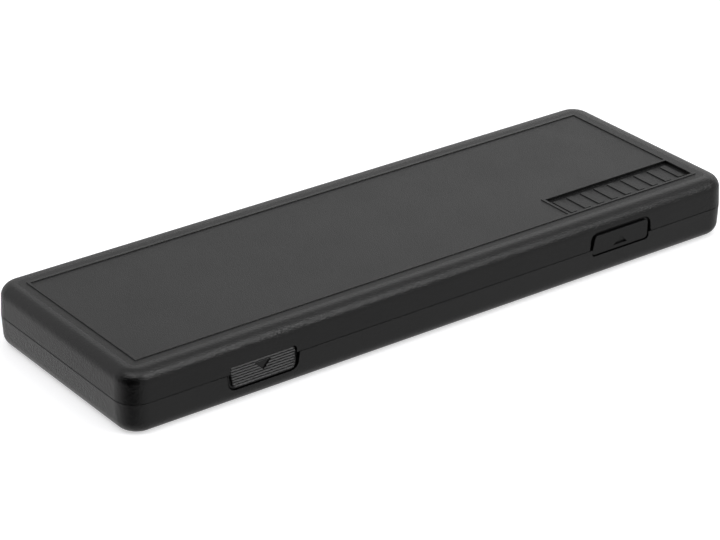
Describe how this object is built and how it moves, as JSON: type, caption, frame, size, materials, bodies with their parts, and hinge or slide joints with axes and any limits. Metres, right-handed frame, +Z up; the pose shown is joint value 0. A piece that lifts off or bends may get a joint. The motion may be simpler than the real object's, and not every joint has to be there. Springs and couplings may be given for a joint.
{
  "type": "digital gram scale in a hinged hard case",
  "caption": "Slim black hinged hard case with two snap latches; foam inside holds a pocket gram scale with a steel plate, display and keys, and a flat calibration weight.",
  "frame": {"origin": "on the resting plane, at the centre of the whole footprint, with the hinge barrels and latch tips counted", "axes": "+X along the case, towards the end with the framed badge; +Y from the latches to the hinge; +Z up through the lid"},
  "size_m": [0.24, 0.0856, 0.0214],
  "materials": {
    "case_plastic": "black moulded plastic, fine spark-eroded texture",
    "foam": "charcoal closed-cell foam",
    "plate_steel": "brushed stainless",
    "fastener_steel": "bright plated steel",
    "weight_steel": "turned stainless",
    "aluminium": "milled",
    "housing_plastic": "dark grey moulded plastic",
    "key_plastic": "grey moulded plastic",
    "rubber": "matte",
    "circuit_board": "solder mask",
    "copper": "copper alloy",
    "display_glass": "reflective liquid crystal",
    "window": "clear"
  },
  "bodies": {
    "base": {"base_shell": "case_plastic", "hinge_pin_left": "fastener_steel", "hinge_pin_right": "fastener_steel", "base_foam": "foam", "calibration_weight": "weight_steel", "lower_housing": "housing_plastic", "upper_housing": "housing_plastic", "housing_screw_1": "fastener_steel", "housing_screw_2": "fastener_steel", "housing_screw_3": "fastener_steel", "housing_screw_4": "fastener_steel", "rubber_foot_1": "rubber", "rubber_foot_2": "rubber", "rubber_foot_3": "rubber", "rubber_foot_4": "rubber", "load_cell": "aluminium", "strain_gauge_top": "copper", "strain_gauge_bottom": "copper", "cell_screw_1": "fastener_steel", "cell_screw_2": "fastener_steel", "load_cell_ribbon": "copper", "circuit_board": "circuit_board", "display": "display_glass", "display_window": "window", "key_mat": "rubber", "coin_cell_1": "fastener_steel", "coin_cell_2": "fastener_steel", "battery_contact_1": "copper", "battery_contact_2": "copper", "battery_contact_3": "copper", "battery_cover": "housing_plastic"},
    "lid": {"lid_shell": "case_plastic", "lid_foam": "foam"},
    "lid_latch_tongue": {"lid_latch": "case_plastic"},
    "base_latch_tongue": {"base_latch": "case_plastic"},
    "weighing_platform": {"weighing_plate": "plate_steel", "plate_carrier": "housing_plastic", "carrier_screw_1": "fastener_steel", "carrier_screw_2": "fastener_steel"},
    "power_button": {"power_key": "key_plastic"},
    "tare_button": {"tare_key": "key_plastic"},
    "mode_button": {"mode_key": "key_plastic"},
    "count_button": {"count_key": "key_plastic"}
  },
  "joints": [
    {"name": "lid_hinge", "type": "hinge", "parent": "base", "child": "lid", "pos_m": [0, 0.0404, 0.01085], "axis": [-1, 0, 0], "range_deg": [0, 180]},
    {"name": "lid_latch_flex", "type": "hinge", "parent": "lid", "child": "lid_latch_tongue", "pos_m": [-0.0715, -0.04155, 0.01295], "axis": [-1, 0, 0], "range_deg": [0, 10], "stiffness_Nm_per_rad": 0.3},
    {"name": "base_latch_flex", "type": "hinge", "parent": "base", "child": "base_latch_tongue", "pos_m": [0.0715, -0.04155, 0.00875], "axis": [1, 0, 0], "range_deg": [0, 10], "stiffness_Nm_per_rad": 0.3},
    {"name": "platform_load", "type": "slide", "parent": "base", "child": "weighing_platform", "axis": [0, 0, -1], "range_m": [0, 0.00025], "stiffness_N_per_m": 20000},
    {"name": "power_press", "type": "slide", "parent": "base", "child": "power_button", "axis": [0, 0, -1], "range_m": [0, 0.0006], "stiffness_N_per_m": 300},
    {"name": "tare_press", "type": "slide", "parent": "base", "child": "tare_button", "axis": [0, 0, -1], "range_m": [0, 0.0006], "stiffness_N_per_m": 300},
    {"name": "mode_press", "type": "slide", "parent": "base", "child": "mode_button", "axis": [0, 0, -1], "range_m": [0, 0.0006], "stiffness_N_per_m": 300},
    {"name": "count_press", "type": "slide", "parent": "base", "child": "count_button", "axis": [0, 0, -1], "range_m": [0, 0.0006], "stiffness_N_per_m": 300}
  ]
}
